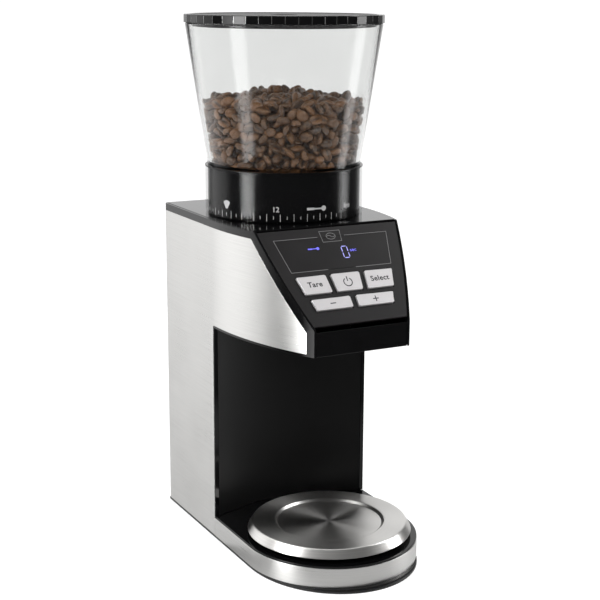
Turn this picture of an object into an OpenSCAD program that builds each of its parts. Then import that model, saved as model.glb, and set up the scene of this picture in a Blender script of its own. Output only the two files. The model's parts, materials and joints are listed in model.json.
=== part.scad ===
// Burr coffee grinder with a weighing base: millimetres, +Z up, front facing -Y.
// The origin is midway along the width and along the overall length, on the surface it stands on.

/* [Housing] */
// Width of the housing and of the base
body_w = 128; // [124:1:132]
// Height of the top cover above the table
top_z = 245.6; // [244:0.2:247]
// Height of the underside of the head above the table
head_z = 165.8; // [164:0.2:168]
// Depth position of the rear face
rear_y = 110.5; // [109:0.5:112]
// Depth position of the column's front edge
column_y = 17; // [16:0.5:18]
// Width of the black border round the steel skins
border = 5.7; // [5:0.1:6.5]

/* [Control panel] */
// Depth position of the panel's upper edge
panel_top_y = -37; // [-38:0.5:-36]
// Depth position of the panel's lower edge and of the fascia
head_front_y = -89.7; // [-91:0.1:-88]
// Height of the panel's lower edge
panel_low_z = 184.4; // [183:0.2:186]
// How far a button can be pressed
button_travel = 0.8; // [0.5:0.1:0.8]

/* [Hopper] */
// Depth position of the hopper's and the burrs' axis
axis_y = 30.5; // [30:0.5:31]
// Radius of the lid
lid_r = 73; // [72:0.5:74]
// Height of the lid's top, which is the height of the grinder
total_h = 390; // [389:0.5:391]
// Radius of the clear sleeve over the grind scale
sleeve_r = 58.5; // [58:0.1:59]

/* [Base] */
// Height of the deck that the weighing plate floats over
deck_z = 18.6; // [18:0.2:19]
// Height of the weighing plate's rim
plate_z = 28; // [27.8:0.1:28.4]
// Radius of the weighing plate at the foot of its skirt
plate_r = 60.5; // [59:0.1:60.5]

/* [Drive] */
// Teeth on the motor pinion
pinion_teeth = 16; // [16:1:18]
// Teeth on the idler's large wheel
idler_teeth = 56; // [54:1:56]
// Teeth on the idler's small wheel
idler_pinion_teeth = 18; // [18:1:18]
// Teeth on the burr shaft's wheel
output_teeth = 48; // [46:1:48]

/* [Hidden] */

$fn = 96;
half_w = body_w / 2;
skin_t = 0.8;
shell_t = 3;
rim_t = 1.5;
gap = 0.1;

// The head's sides bend inwards on a large radius, from this depth to the front
bend_y = 17.2;
bend_r = 229.4;
bend_steps = 14;
corner_r = 4;
rear_return_x = 52;

// Base outline: straight sides and a round front about the weighing plate's centre
base_arc_y = -44.5;
band_front = 66;
lip_half = 62.5;
lip_front = 71;
arc_steps = 40;
floor_z = 1.2;
tray_z = 3.2;
band_z = 17;
band_low_z = 3;
lip_z = 0.3;
seam_y = 18.6;

slope_deg = atan2(top_z - panel_low_z, panel_top_y - head_front_y);
slope_len = norm([top_z - panel_low_z, panel_top_y - head_front_y]);

// Plan of the recess behind the bay
recess_x = 60.9;
recess_mid_x = 24;
recess_mid_y = 30.5;

// Grinding gear
stage_1_m = 0.8;
stage_2_m = 1;
idler_dist = stage_2_m * (idler_pinion_teeth + output_teeth) / 2;
motor_dist = stage_1_m * (pinion_teeth + idler_teeth) / 2;
idler_dir = 128.7;
idler_pos = [idler_dist * cos(idler_dir), axis_y + idler_dist * sin(idler_dir)];
motor_dir = acos(-idler_pos[0] / motor_dist);
motor_pos = [0, idler_pos[1] + motor_dist * sin(motor_dir)];
plate_low_z = 168.2;
plate_top_z = 171.2;
stage_1_z = 173;
stage_2_z = 180;
gear_h_1 = 5;
gear_h_2 = 7;
cover_z = 188.5;
cover_top_z = 191.5;
shaft_r = 4;
motor_r = 27;
motor_low_z = 100;
cap_z = 163;

// Burrs
burr_z = 201;
burr_h = 20;
burr_low_r = 17.6;
burr_top_r = 9.6;
burr_gap = 0.7;
ring_r = 24;
carrier_r = 30;
chamber_r = 36;
nozzle_r = 14;

// Hopper
rim_z = 384;
rim_r = 72.1;
foot_r = 56.4;
collar_top_z = 281.6;
collar_low_z = 246.3;
neck_r = 18.5;
wall = 2.5;

// ---------- outlines ----------

function half_at(y, inset = 0) =
  y >= bend_y ? half_w - inset
              : half_w - bend_r + sqrt(pow(bend_r - inset, 2) - pow(bend_y - y, 2));

// One side of the housing in plan: the rear return, the corner, then the side up to its front
function side_path(inset, front) = concat(
  [[rear_return_x, rear_y - inset]],
  [for (a = [90:-15:0])
    [half_w - corner_r + (corner_r - inset) * cos(a), rear_y - corner_r + (corner_r - inset) * sin(a)]],
  [for (i = [0:bend_steps])
    let (y = bend_y + (front - bend_y) * i / bend_steps) [half_at(y, inset), y]]
);

function reversed(list) = [for (i = [len(list) - 1:-1:0]) list[i]];
function mirrored_x(list) = [for (p = list) [-p[0], p[1]]];

// Straight sides and an elliptical front
function base_outline(half, front, rear) = concat(
  [[-half, rear]],
  [for (i = [0:arc_steps])
    let (a = 180 * i / arc_steps) [-half * cos(a), base_arc_y - front * sin(a)]],
  [[half, rear]]
);

// Points that round the corner b of the path a, b, c
function arc_corner(a, b, c, r, steps = 5) =
  let (u = (a - b) / norm(a - b), v = (c - b) / norm(c - b), bend = acos(u * v),
       centre = b + (u + v) / norm(u + v) * r / sin(bend / 2),
       p = b + u * r / tan(bend / 2) - centre, q = b + v * r / tan(bend / 2) - centre,
       start = atan2(p[1], p[0]), turn = atan2(q[1], q[0]) - start,
       sweep = turn > 180 ? turn - 360 : turn < -180 ? turn + 360 : turn)
  [for (i = [0:steps]) centre + r * [cos(start + sweep * i / steps), sin(start + sweep * i / steps)]];

function rounded(points, radii) = [
  for (i = [0:len(points) - 1])
    let (n = len(points))
    for (p = radii[i] == 0 ? [points[i]]
           : arc_corner(points[(i + n - 1) % n], points[i], points[(i + 1) % n], radii[i])) p
];

// Height of the sloped face, set in by a distance, at a depth
function slope_z(y, inset) =
  top_z - (panel_top_y - y) * tan(slope_deg) - inset / cos(slope_deg);
function slope_y(z, inset) =
  panel_top_y - (top_z - z - inset / cos(slope_deg)) / tan(slope_deg);

// Side view of the housing, set in by different amounts at its top, slope and front
function side_view(top_in, front_in) = [
  [rear_y + 1, tray_z], [seam_y, tray_z], [seam_y, deck_z + gap], [column_y, deck_z + gap],
  [column_y, head_z], [head_front_y + front_in, head_z],
  [head_front_y + front_in, slope_z(head_front_y + front_in, front_in)],
  [slope_y(top_z - top_in, front_in), top_z - top_in], [rear_y + 1, top_z - top_in]
];

// Side view of a steel skin, inside the black border
skin_view = rounded([
  [rear_y + 1, band_low_z + 0.2], [seam_y, band_low_z + 0.2], [seam_y, head_z + 1.6],
  [head_front_y + border, head_z + 1.6],
  [head_front_y + border, slope_z(head_front_y + border, border)],
  [slope_y(top_z - border, border), top_z - border], [rear_y + 1, top_z - border]
], [0, 0, 2, 0, 1.5, 3, 0]);

// Outline of one button on the panel: [x, distance down the slope]
tare_key = [[-38, 39.5], [-15.5, 39.5], [-14.2, 53.2], [-34.6, 53.2]];
power_key = [[-11.2, 39.5], [11.2, 39.5], [9.8, 53.2], [-9.8, 53.2]];
minus_key = [[-32.3, 57.5], [-2.5, 57.5], [-2.4, 66], [-30, 66]];
select_key = reversed(mirrored_x(tare_key));
plus_key = reversed(mirrored_x(minus_key));
window_shape = [[-44.8, 9.5], [44.8, 9.5], [39.3, 35.2], [-39.3, 35.2]];
all_keys = [tare_key, power_key, [select_key[2], select_key[3], select_key[0], select_key[1]],
            minus_key, [plus_key[2], plus_key[3], plus_key[0], plus_key[1]]];

// A key outline, grown outwards by d
function grown(k, d) = [
  [k[0][0] - d, k[0][1] - d], [k[1][0] + d, k[1][1] - d],
  [k[2][0] + d, k[2][1] + d], [k[3][0] - d, k[3][1] + d]
];
function key_centre(k) = (k[0] + k[1] + k[2] + k[3]) / 4;

// ---------- shared shapes ----------

module side_slab(outer, inner, z0, z1) {
  translate([0, 0, z0])
    linear_extrude(z1 - z0)
      polygon(concat(side_path(outer, head_front_y), reversed(side_path(inner, head_front_y))));
}

// A side view pushed through one side of the housing
module side_block(points) {
  translate([20, 0, 0])
    rotate([90, 0, 90])
      linear_extrude(60) polygon(points);
}

module base_slab(half, front, rear, z0, z1) {
  translate([0, 0, z0])
    linear_extrude(z1 - z0) polygon(base_outline(half, front, rear));
}

// Children are drawn on the sloped face: x across, -y down the slope, z outwards
module on_panel() {
  translate([0, panel_top_y, top_z])
    rotate([slope_deg, 0, 0]) children();
}

// A flat shape given as [x, distance down the slope], between two heights off the panel
module panel_slab(points, low, high) {
  translate([0, 0, low])
    linear_extrude(high - low) polygon([for (p = points) [p[0], -p[1]]]);
}

module tube(r_out, r_in, z0, z1) {
  translate([0, 0, z0])
    difference() {
      cylinder(r = r_out, h = z1 - z0);
      translate([0, 0, -1]) cylinder(r = r_in, h = z1 - z0 + 2);
    }
}

module disc(r, z0, z1) {
  translate([0, 0, z0]) cylinder(r = r, h = z1 - z0);
}

module block(x0, x1, y0, y1, z0, z1) {
  translate([x0, y0, z0]) cube([x1 - x0, y1 - y0, z1 - z0]);
}

module at_axis() {
  translate([0, axis_y, 0]) children();
}

module at_plate() {
  translate([0, base_arc_y, 0]) children();
}

// Half the angle that an involute tooth covers at radius r
function tooth_half(r, rb, base_half) =
  let (t = r > rb ? sqrt(pow(r / rb, 2) - 1) : 0) base_half - (t * 180 / PI - atan(t));

// Outline of an involute wheel, with one tooth centred on +X
function gear_outline(teeth, m, play = 0.1) =
  let (rp = m * teeth / 2, rb = rp * cos(20), tip = rp + 0.9 * m, root = rp - 1.2 * m,
       t = tan(20), base_half = 90 / teeth * (1 - play) + (t * 180 / PI - 20),
       low = max(rb, root), flank = [for (i = [0:3]) low + (tip - low) * i / 3])
  [for (k = [0:teeth - 1])
    let (c = 360 * k / teeth)
    for (p = concat(
      [[root, -base_half]],
      [for (r = flank) [r, -tooth_half(r, rb, base_half)]],
      [for (r = reversed(flank)) [r, tooth_half(r, rb, base_half)]],
      [[root, base_half]]))
    p[0] * [cos(c + p[1]), sin(c + p[1])]];

module gear(teeth, m, turned, bore, z0, h) {
  translate([0, 0, z0])
    difference() {
      linear_extrude(h) rotate(turned) polygon(gear_outline(teeth, m));
      translate([0, 0, -1]) cylinder(r = bore, h = h + 2);
    }
}

// Pan-head screw pointing down, with the underside of its head at z
module screw(r, head_r, head_h, length) {
  translate([0, 0, -length]) cylinder(r = r, h = length + head_h / 2);
  difference() {
    cylinder(r = head_r, h = head_h);
    translate([-head_r * 0.65, -0.35, head_h - 0.7]) cube([head_r * 1.3, 0.7, 1]);
    translate([-0.35, -head_r * 0.65, head_h - 0.7]) cube([0.7, head_r * 1.3, 1]);
  }
}

// ---------- base ----------

foot_places = [[-48, 92], [48, 92], [-38, -70], [38, -70]];
base_screw_places = [[-54, 60], [54, 60], [-46, -30], [46, -30]];
screw_seat_z = 3.6;
cell_screw_y = [4, 14];

module base_tray() {
  color("#1c1c1d")
    difference() {
      union() {
        base_slab(half_w - 0.3, band_front - 0.3, rear_y - skin_t, floor_z, tray_z - 0.2);
        base_slab(lip_half + 0.3, lip_front - 2, base_arc_y + 5, floor_z, tray_z - 0.2);
        base_slab(half_w - 1.2, band_front - 1.2, rear_y - skin_t - gap, floor_z, tray_z);
        difference() {
          base_slab(lip_half, lip_front, base_arc_y + 5, lip_z, lip_z + 1.5);
          base_slab(half_w - 6, band_front - 6, base_arc_y + 6, lip_z - 1, floor_z);
        }
        difference() {
          base_slab(half_w - skin_t, band_front - skin_t, column_y - gap, floor_z, band_z);
          base_slab(half_w - shell_t, band_front - shell_t, column_y + 1, tray_z, band_z + 1);
        }
        block(-9, 9, cell_screw_y[0] - 6, cell_screw_y[1] + 4, tray_z - 0.5, 6);
        for (p = base_screw_places) translate([p[0], p[1], floor_z]) cylinder(r = 5.5, h = 4.8);
      }
      for (p = foot_places) translate([p[0], p[1], 0]) cylinder(r = 2.6, h = 5);
      for (p = base_screw_places)
        translate([p[0], p[1], 0]) {
          cylinder(r = 3.7, h = screw_seat_z);
          cylinder(r = 2, h = 8);
        }
    }
}

module base_band() {
  color("#c9c9c6")
    difference() {
      base_slab(half_w, band_front, seam_y - 0.2, band_low_z, band_z);
      base_slab(half_w - skin_t, band_front - skin_t, seam_y + 1, band_low_z - 1, band_z + 1);
    }
}

// Plan of the deck and of the head's floor behind the column's front edge
recess_plan = [
  [-recess_x, column_y - gap], [-recess_mid_x, recess_mid_y - gap],
  [recess_mid_x, recess_mid_y - gap], [recess_x, column_y - gap]
];

module base_deck() {
  color("#131314")
    difference() {
      union() {
        base_slab(half_w - 0.2, band_front - 0.2, column_y - gap, band_z, deck_z);
        translate([0, 0, band_z])
          linear_extrude(deck_z - band_z) polygon(concat([[-recess_x, 0]], recess_plan, [[recess_x, 0]]));
      }
      at_plate() disc(13, band_z - 1, deck_z + 1);
    }
  color("#131314")
    for (i = [2, 3])
      translate([base_screw_places[i][0], base_screw_places[i][1], 0]) tube(5, 1.85, 6.1, band_z + 0.1);
}

module rubber_feet() {
  color("#2a2a2a")
    for (p = foot_places)
      translate([p[0], p[1], 0]) {
        cylinder(r = 7, h = floor_z);
        cylinder(r = 2.5, h = tray_z + 1);
      }
}

module base_screws() {
  color("#9a9a98")
    for (p = base_screw_places)
      translate([p[0], p[1], screw_seat_z])
        rotate([180, 0, 0]) screw(1.8, 3.4, 1.8, 10);
}

module load_cell() {
  color("#c4c7c9")
    difference() {
      block(-7, 7, base_arc_y - 12, cell_screw_y[1] + 4, 6, 13.6);
      for (y = [base_arc_y + 16, base_arc_y + 22])
        translate([-8, y, 9.8]) rotate([0, 90, 0]) cylinder(r = 2.9, h = 16);
      for (y = cell_screw_y) translate([0, y, 0]) cylinder(r = 2, h = 20);
    }
  color("#9a9a98")
    for (y = cell_screw_y)
      translate([0, y, 13.6]) screw(1.8, 3.2, 1.8, 7);
}

module platform_spider() {
  color("#1a1a1b")
    at_plate() {
      difference() {
        disc(52, 22.2, 24.8);
        for (a = [45:90:315])
          rotate(a) translate([30, 0, 20]) cylinder(r = 11, h = 8);
      }
      disc(9, 14, 22.5);
    }
}

module weighing_plate() {
  skirt_z = 21.5;
  rim_in = 3.6;
  dish_r = 40.2;
  dish_z = 26.4;
  t = 1.2;
  color("#b9b8b4")
    at_plate()
      rotate_extrude()
        polygon([
          [0, dish_z], [dish_r - 1.6, dish_z], [dish_r, plate_z - 0.3], [dish_r + 0.6, plate_z],
          [plate_r - rim_in - 0.7, plate_z], [plate_r - rim_in, plate_z - 0.6],
          [plate_r, skirt_z], [plate_r - t, skirt_z],
          [plate_r - rim_in - t, plate_z - t - 0.4], [dish_r + 0.9, plate_z - t],
          [dish_r - 1.2, dish_z - t], [0, dish_z - t]
        ]);
}

// ---------- housing ----------

rear_screw_x = 47;
rear_screw_z = [16, 228];

module shell() {
  union() {
    intersection() {
      side_slab(0, rim_t, 0, top_z);
      difference() {
        side_block(rounded(side_view(0.3, 0), [0, 0, 0, 0, 0, 0, 3, 3, 0]));
        translate([-1, 0, 0]) scale([1.1, 1, 1]) side_block(skin_view);
      }
    }
    intersection() {
      side_slab(skin_t, shell_t, 0, top_z);
      side_block(side_view(3, 2.8));
    }
    difference() {
      union() {
        block(rear_return_x - 9, rear_return_x + 2, rear_y - 5, rear_y - 2.6, tray_z, top_z - 3);
        block(48, half_w - 2, 55, 65, 6.1, 16);
      }
      for (z = rear_screw_z)
        translate([rear_screw_x, rear_y, z]) rotate([90, 0, 0]) cylinder(r = 1.85, h = 8);
      translate([base_screw_places[1][0], base_screw_places[1][1], 0]) cylinder(r = 1.85, h = 15);
    }
  }
}

module left_shell() {
  color("#19191a") mirror([1, 0, 0]) shell();
}

module right_shell() {
  color("#19191a") shell();
}

module skin() {
  intersection() {
    side_slab(0, skin_t, 0, top_z);
    side_block(skin_view);
  }
}

module left_skin() {
  color("#cfcfcc") mirror([1, 0, 0]) skin();
}

module right_skin() {
  color("#cfcfcc") skin();
}

module top_cover() {
  path = [for (p = side_path(rim_t + 0.05, panel_top_y + 1.1)) if (p[0] > 0) p];
  color("#0f0f10")
    translate([0, 0, top_z - 3])
      difference() {
        linear_extrude(3) polygon(concat(path, reversed(mirrored_x(path))));
        translate([0, axis_y, -1]) cylinder(r = 47, h = 5);
      }
}

module recess_liner() {
  t = 2;
  outer = [[-recess_x, column_y + 0.2], [-recess_mid_x, recess_mid_y], [recess_mid_x, recess_mid_y],
           [recess_x, column_y + 0.2]];
  color("#0c0c0d")
    translate([0, 0, deck_z])
      linear_extrude(head_z - deck_z - gap)
        polygon(concat(outer, [for (p = reversed(outer)) [p[0], p[1] + t]]));
}

module head_floor() {
  front = head_front_y + 2.8;
  edge = [for (i = [0:bend_steps])
    let (y = front + (column_y - 0.3 - front) * i / bend_steps) [half_at(y, shell_t + 0.05), y]];
  color("#131314")
    difference() {
      translate([0, 0, head_z])
        linear_extrude(2) polygon(concat(mirrored_x(edge), recess_plan, reversed(edge)));
      at_plate() disc(nozzle_r + 1.2, head_z - 1, head_z + 3);
    }
}

module front_fascia() {
  low_w = half_at(head_front_y + 0.2, rim_t + 0.2);
  color("#17171a")
    block(-low_w, low_w, head_front_y + 0.2, head_front_y + 2.7, head_z, panel_low_z - 1.6);
}

// ---------- control panel ----------

panel_face = -0.3;
panel_back = -2.5;
board_face = -8;

module control_panel() {
  steps = 10;
  low = 77.8;
  high = 1.6;
  edge = [for (i = [0:steps])
    let (s = high + (low - high) * i / steps)
    [half_at(panel_top_y - s * cos(slope_deg), rim_t + 0.2), s]];
  color("#232123")
    on_panel()
      difference() {
        panel_slab(concat(edge, reversed(mirrored_x(edge))), panel_back, panel_face);
        for (k = all_keys) panel_slab(grown(k, 0.5), panel_back - 1, panel_face + 1);
        panel_slab(window_shape, panel_back - 1, panel_face + 1);
      }
}

module display_window() {
  color("#1b191b")
    on_panel() panel_slab(grown(window_shape, -0.05), panel_back + 0.3, panel_face);
}

// A key cap with a wide foot behind the panel and a stem over its switch
module button(k) {
  c = key_centre(k);
  on_panel() {
    panel_slab(k, panel_back - 0.5, 0.9);
    panel_slab(grown(k, 0.9), panel_back - 0.9, panel_back - 0.1);
    translate([c[0], -c[1], board_face + 4]) cylinder(r = 1.6, h = 2);
  }
}

module button_tare() { color("#b9b7b8") button(all_keys[0]); }
module button_power() { color("#b9b7b8") button(all_keys[1]); }
module button_select() { color("#b9b7b8") button(all_keys[2]); }
module button_minus() { color("#b9b7b8") button(all_keys[3]); }
module button_plus() { color("#b9b7b8") button(all_keys[4]); }

module display_board() {
  color("#1f5b34")
    on_panel() panel_slab([[-44, 8], [44, 8], [33, 70], [-33, 70]], board_face - 1.6, board_face);
}

module led_display() {
  color("#26262b")
    on_panel() panel_slab([[-30, 12], [30, 12], [30, 32], [-30, 32]], board_face, panel_back - 0.2);
}

module button_switches() {
  color("#8e8e90")
    on_panel()
      for (k = all_keys) {
        c = key_centre(k);
        translate([c[0], -c[1], board_face]) {
          translate([-3, -3, 0]) cube([6, 6, 2.4]);
          cylinder(r = 1.6, h = 3);
        }
      }
}

// ---------- rear ----------

cord_z = 24;
gland_out = 5;
vent_rows = 7;
rear_screw_places = [for (x = [-rear_screw_x, rear_screw_x]) for (z = rear_screw_z) [x, z]];

module rear_cover() {
  w = rear_return_x - 0.2;
  color("#19191a")
    difference() {
      block(-w, w, rear_y - 2.5, rear_y, tray_z + 0.8, top_z - 3.2);
      for (i = [0:vent_rows - 1])
        block(-22, 22, rear_y - 4, rear_y + 1, 110 + 8 * i, 113 + 8 * i);
      for (p = rear_screw_places)
        translate([p[0], rear_y + 1, p[1]]) rotate([90, 0, 0]) cylinder(r = 3.6, h = 2.4);
      for (p = rear_screw_places)
        translate([p[0], rear_y + 1, p[1]]) rotate([90, 0, 0]) cylinder(r = 1.9, h = 6);
      translate([0, rear_y + 1, cord_z]) rotate([90, 0, 0]) cylinder(r = 7.1, h = 6);
    }
}

module rear_screws() {
  color("#55565a")
    for (p = rear_screw_places)
      translate([p[0], rear_y - 1.4, p[1]]) rotate([-90, 0, 0]) screw(1.8, 3.4, 1.3, 5);
}

module cord_gland() {
  color("#151515")
    translate([0, rear_y, cord_z])
      rotate([90, 0, 0]) {
        tube(7, 3.75, -gland_out, 10);
        tube(9.5, 3.75, -1.8, -0.05);
        tube(9, 3.75, 2.6, 5);
      }
}

module main_board() {
  x = 57;
  color("#1f5b34") block(x, x + 1.6, 42, 102, 40, 150);
  color("#3a3a3c") {
    block(x - 12, x, 50, 72, 100, 124);
    block(x - 8, x, 80, 96, 60, 74);
  }
  color("#2c3a6a")
    for (z = [52, 70, 88])
      translate([x - 14, 56, z]) rotate([0, 90, 0]) cylinder(r = 6, h = 14);
}

module hopper_switch() {
  color("#22252b") {
    block(-53, -42.6, axis_y - 10, axis_y + 10, 226, 238);
    block(-half_w + shell_t + gap, -52, axis_y - 4, axis_y + 4, 229, 232);
  }
  color("#b33a2c") block(-45, -43, axis_y - 1, axis_y + 1, 237.5, 240.2);
}

// ---------- drive ----------

module gearbox_plate() {
  color("#b9bcc0")
    difference() {
      union() {
        block(-half_w + shell_t + gap, half_w - shell_t - gap, 36, rear_y - 6, plate_low_z, plate_top_z);
        block(-44, 44, -4, 36.5, plate_low_z, plate_top_z);
        at_axis() disc(8.2, plate_low_z, 179);
        for (x = [-half_w + shell_t + gap, half_w - shell_t - gap - 6])
          block(x, x + 6, 60, 100, plate_low_z, plate_top_z + 22);
      }
      at_axis() disc(6.55, plate_top_z - 1, 180);
      translate(idler_pos) disc(2.52, plate_low_z + 0.5, 180);
      translate(motor_pos) disc(8.6, plate_low_z - 1, 180);
      for (x = [-14, 14])
        translate([x, motor_pos[1], 0]) {
          disc(1.9, plate_low_z - 1, 180);
          disc(3.6, plate_top_z - 2, 180);
        }
    }
}

module gearbox_cover() {
  color("#2b2b2d")
    difference() {
      union() {
        at_axis() disc(29, plate_top_z, cover_top_z);
        translate(idler_pos) disc(27, plate_top_z, cover_top_z);
        translate(motor_pos) disc(14, plate_top_z, cover_top_z);
        at_axis() disc(13.5, cover_z, 196);
      }
      at_axis() disc(27, plate_top_z - 1, cover_z);
      translate(idler_pos) disc(25, plate_top_z - 1, cover_z);
      translate(motor_pos) disc(12, plate_top_z - 1, cover_z);
      for (x = [-14, 14]) translate([x, motor_pos[1], 0]) disc(4, plate_top_z - 1, plate_top_z + 2);
      at_axis() disc(11.05, cover_z + 0.5, 197);
      at_axis() disc(6, cover_z - 1, 197);
      translate(idler_pos) disc(2.52, cover_z - 1, cover_z + 1.5);
    }
}

module shaft_bush() {
  color("#b08a4a") at_axis() tube(6.5, shaft_r + 0.05, plate_top_z - 0.9, 179);
}

module shaft_bearing() {
  color("#c2c5c8")
    at_axis() {
      tube(11, 9.2, cover_z + 0.5, 196);
      tube(6.2, shaft_r + 0.05, cover_z + 0.5, 196);
      for (a = [0:45:315])
        rotate(a) translate([7.7, 0, 192.3]) sphere(r = 1.42, $fn = 24);
    }
}

module idler_pin() {
  color("#a9acb0") translate(idler_pos) disc(2.5, plate_low_z + 0.5, cover_z + 1.4);
}

module idler_gear() {
  to_output = idler_dir + 180;
  to_motor = atan2(motor_pos[1] - idler_pos[1], motor_pos[0] - idler_pos[0]);
  color("#d9d4c4")
    translate(idler_pos) {
      gear(idler_teeth, stage_1_m, to_motor + 180 / idler_teeth, 2.55, stage_1_z, gear_h_1);
      tube(6, 2.55, stage_1_z + gear_h_1 - 0.1, stage_2_z);
      gear(idler_pinion_teeth, stage_2_m, to_output, 2.55, stage_2_z - 0.1, gear_h_2 + 0.1);
    }
}

module output_gear() {
  color("#d9d4c4")
    at_axis() gear(output_teeth, stage_2_m, idler_dir + 180 / output_teeth, shaft_r + 0.01,
                    stage_2_z, gear_h_2);
}

module motor_pinion() {
  to_idler = atan2(idler_pos[1] - motor_pos[1], idler_pos[0] - motor_pos[0]);
  color("#b08a4a")
    translate(motor_pos) gear(pinion_teeth, stage_1_m, to_idler, 1.61, stage_1_z - 0.5, gear_h_1 + 1);
}

module motor_shaft() {
  color("#a9acb0") translate(motor_pos) disc(1.6, 92, stage_1_z + gear_h_1 + 1);
}

module armature() {
  color("#a4592a")
    translate(motor_pos)
      difference() {
        disc(21, motor_low_z + 8, cap_z - 8);
        disc(1.61, motor_low_z, cap_z);
        for (a = [0:45:315])
          rotate(a) translate([16, -1.2, motor_low_z]) cube([8, 2.4, 80]);
      }
}

module motor_can() {
  color("#7d8084")
    translate(motor_pos)
      difference() {
        disc(motor_r, motor_low_z, cap_z);
        disc(motor_r - 4, motor_low_z + 3, cap_z + 1);
        disc(1.66, motor_low_z - 1, cap_z);
      }
}

module motor_end_cap() {
  color("#c2c5c8")
    translate(motor_pos)
      difference() {
        union() {
          disc(motor_r, cap_z, plate_low_z);
          disc(8.4, cap_z, plate_top_z);
        }
        disc(1.66, cap_z - 1, 180);
        for (x = [-14, 14]) translate([x, 0, 0]) disc(1.9, cap_z - 1, 180);
      }
}

module motor_screws() {
  color("#8d8f92")
    for (x = [-14, 14])
      translate([x, motor_pos[1], plate_top_z - 2]) screw(1.8, 3.4, 1.8, 5);
}

// ---------- grinding ----------

module burr_shaft() {
  color("#a9acb0")
    at_axis() {
      disc(shaft_r, plate_top_z + 0.4, burr_z + burr_h);
      disc(2.4, burr_z + burr_h - 0.5, burr_z + burr_h + 7);
    }
}

module burr_chamber() {
  color("#2b2b2d")
    difference() {
      union() {
        at_axis() disc(chamber_r, cover_top_z, 224);
        block(-12, 12, -18, axis_y, cover_top_z, 204);
      }
      at_axis() disc(chamber_r - 2.5, cover_top_z + 2, 225);
      at_axis() disc(13.6, cover_top_z - 1, 196);
      block(-10, 10, -19, axis_y, cover_top_z + 2, 202);
    }
}

module sweeper() {
  color("#e3e1da")
    at_axis()
      difference() {
        union() {
          disc(16, 197, 200.9);
          for (a = [0:60:300])
            rotate(a) block(14, 31, -1.5, 1.5, 194.2, 200.5);
        }
        disc(shaft_r + 0.01, 190, 210);
      }
}

module cone_burr() {
  flutes = 10;
  lean = atan((burr_low_r - burr_top_r) / burr_h);
  color("#8a8b8d")
    at_axis()
      difference() {
        translate([0, 0, burr_z]) cylinder(r1 = burr_low_r, r2 = burr_top_r, h = burr_h);
        for (i = [0:flutes - 1])
          rotate(360 * i / flutes)
            translate([burr_low_r + 0.5, 0, burr_z - 1])
              rotate([22, -lean, 0]) translate([-2.2, -0.9, 0]) cube([4, 1.8, 28]);
        disc(shaft_r + 0.01, burr_z - 1, burr_z + burr_h + 1);
      }
}

module burr_nut() {
  color("#a9acb0")
    at_axis()
      translate([0, 0, burr_z + burr_h])
        difference() {
          cylinder(r = 5.2, h = 5, $fn = 6);
          translate([0, 0, -1]) cylinder(r = 2.41, h = 8);
        }
}

module ring_burr() {
  grow = (burr_low_r - burr_top_r) / burr_h;
  top = burr_z + 18;
  color("#8a8b8d")
    at_axis()
      difference() {
        disc(ring_r, burr_z + 0.5, top);
        translate([0, 0, burr_z])
          cylinder(r1 = burr_low_r + burr_gap, r2 = burr_low_r + burr_gap - grow * 14, h = 14);
        translate([0, 0, burr_z + 14 - 0.01])
          cylinder(r1 = burr_low_r + burr_gap - grow * 14, r2 = ring_r - 3, h = 4.1);
      }
}

module burr_carrier() {
  color("#3b3b3e")
    at_axis()
      difference() {
        disc(carrier_r, burr_z + 1, 238);
        disc(ring_r + 0.02, burr_z, burr_z + 18.02);
        disc(21, burr_z + 18, 239);
      }
}

module adjuster_ring() {
  color("#3b3b3e")
    at_axis()
      difference() {
        union() {
          disc(38, 224.3, 238.5);
          disc(42, 234, 240.2);
        }
        disc(carrier_r + 0.2, 223, 241);
      }
}

module grounds_chute() {
  duct_deg = 40;
  color("#18181a")
    difference() {
      union() {
        at_plate() disc(nozzle_r, 160.8, 186);
        translate([0, -14.5, 196.5]) rotate([duct_deg, 0, 0]) block(-12, 12, -34, -1, -6, 6);
      }
      at_plate() disc(nozzle_r - 1.6, 160, 184.4);
      translate([0, -14.5, 196.5]) rotate([duct_deg, 0, 0]) block(-10.4, 10.4, -30, 0, -4.4, 4.4);
      block(-20, 20, -18.05, 0, 180, 210);
    }
}

// ---------- hopper ----------

module bean_hopper() {
  color([0.86, 0.87, 0.87, 0.35])
    at_axis()
      rotate_extrude()
        polygon([
          [neck_r - wall, 239], [neck_r, 239], [neck_r, 249.6], [53.2, 279.6], [53.8, collar_top_z + 0.1],
          [foot_r, collar_top_z + 0.1], [rim_r, rim_z], [rim_r - wall, rim_z],
          [54, 284], [neck_r - wall, 251.6]
        ]);
}

module hopper_collar() {
  color("#0d0d0e")
    at_axis()
      rotate_extrude()
        polygon([
          [40, 240.6], [46, 240.6], [46, collar_low_z], [foot_r - 0.1, collar_low_z],
          [foot_r - 0.1, collar_top_z - 0.8], [sleeve_r, collar_top_z - 0.8], [sleeve_r, collar_top_z],
          [54, collar_top_z], [54, collar_low_z + 2], [40, collar_low_z + 2]
        ]);
}

module scale_sleeve() {
  color([0.6, 0.6, 0.6, 0.4])
    at_axis() tube(sleeve_r, foot_r, collar_low_z, collar_top_z - 0.9);
}

module finger_guard() {
  reach = neck_r - wall - 0.1;
  color("#161617")
    at_axis()
      union() {
        intersection() {
          disc(reach, 244, 248);
          union() {
            block(-reach, reach, -1.2, 1.2, 244, 248);
            block(-1.2, 1.2, -reach, reach, 244, 248);
          }
        }
        disc(4, 244, 248);
      }
}

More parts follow.
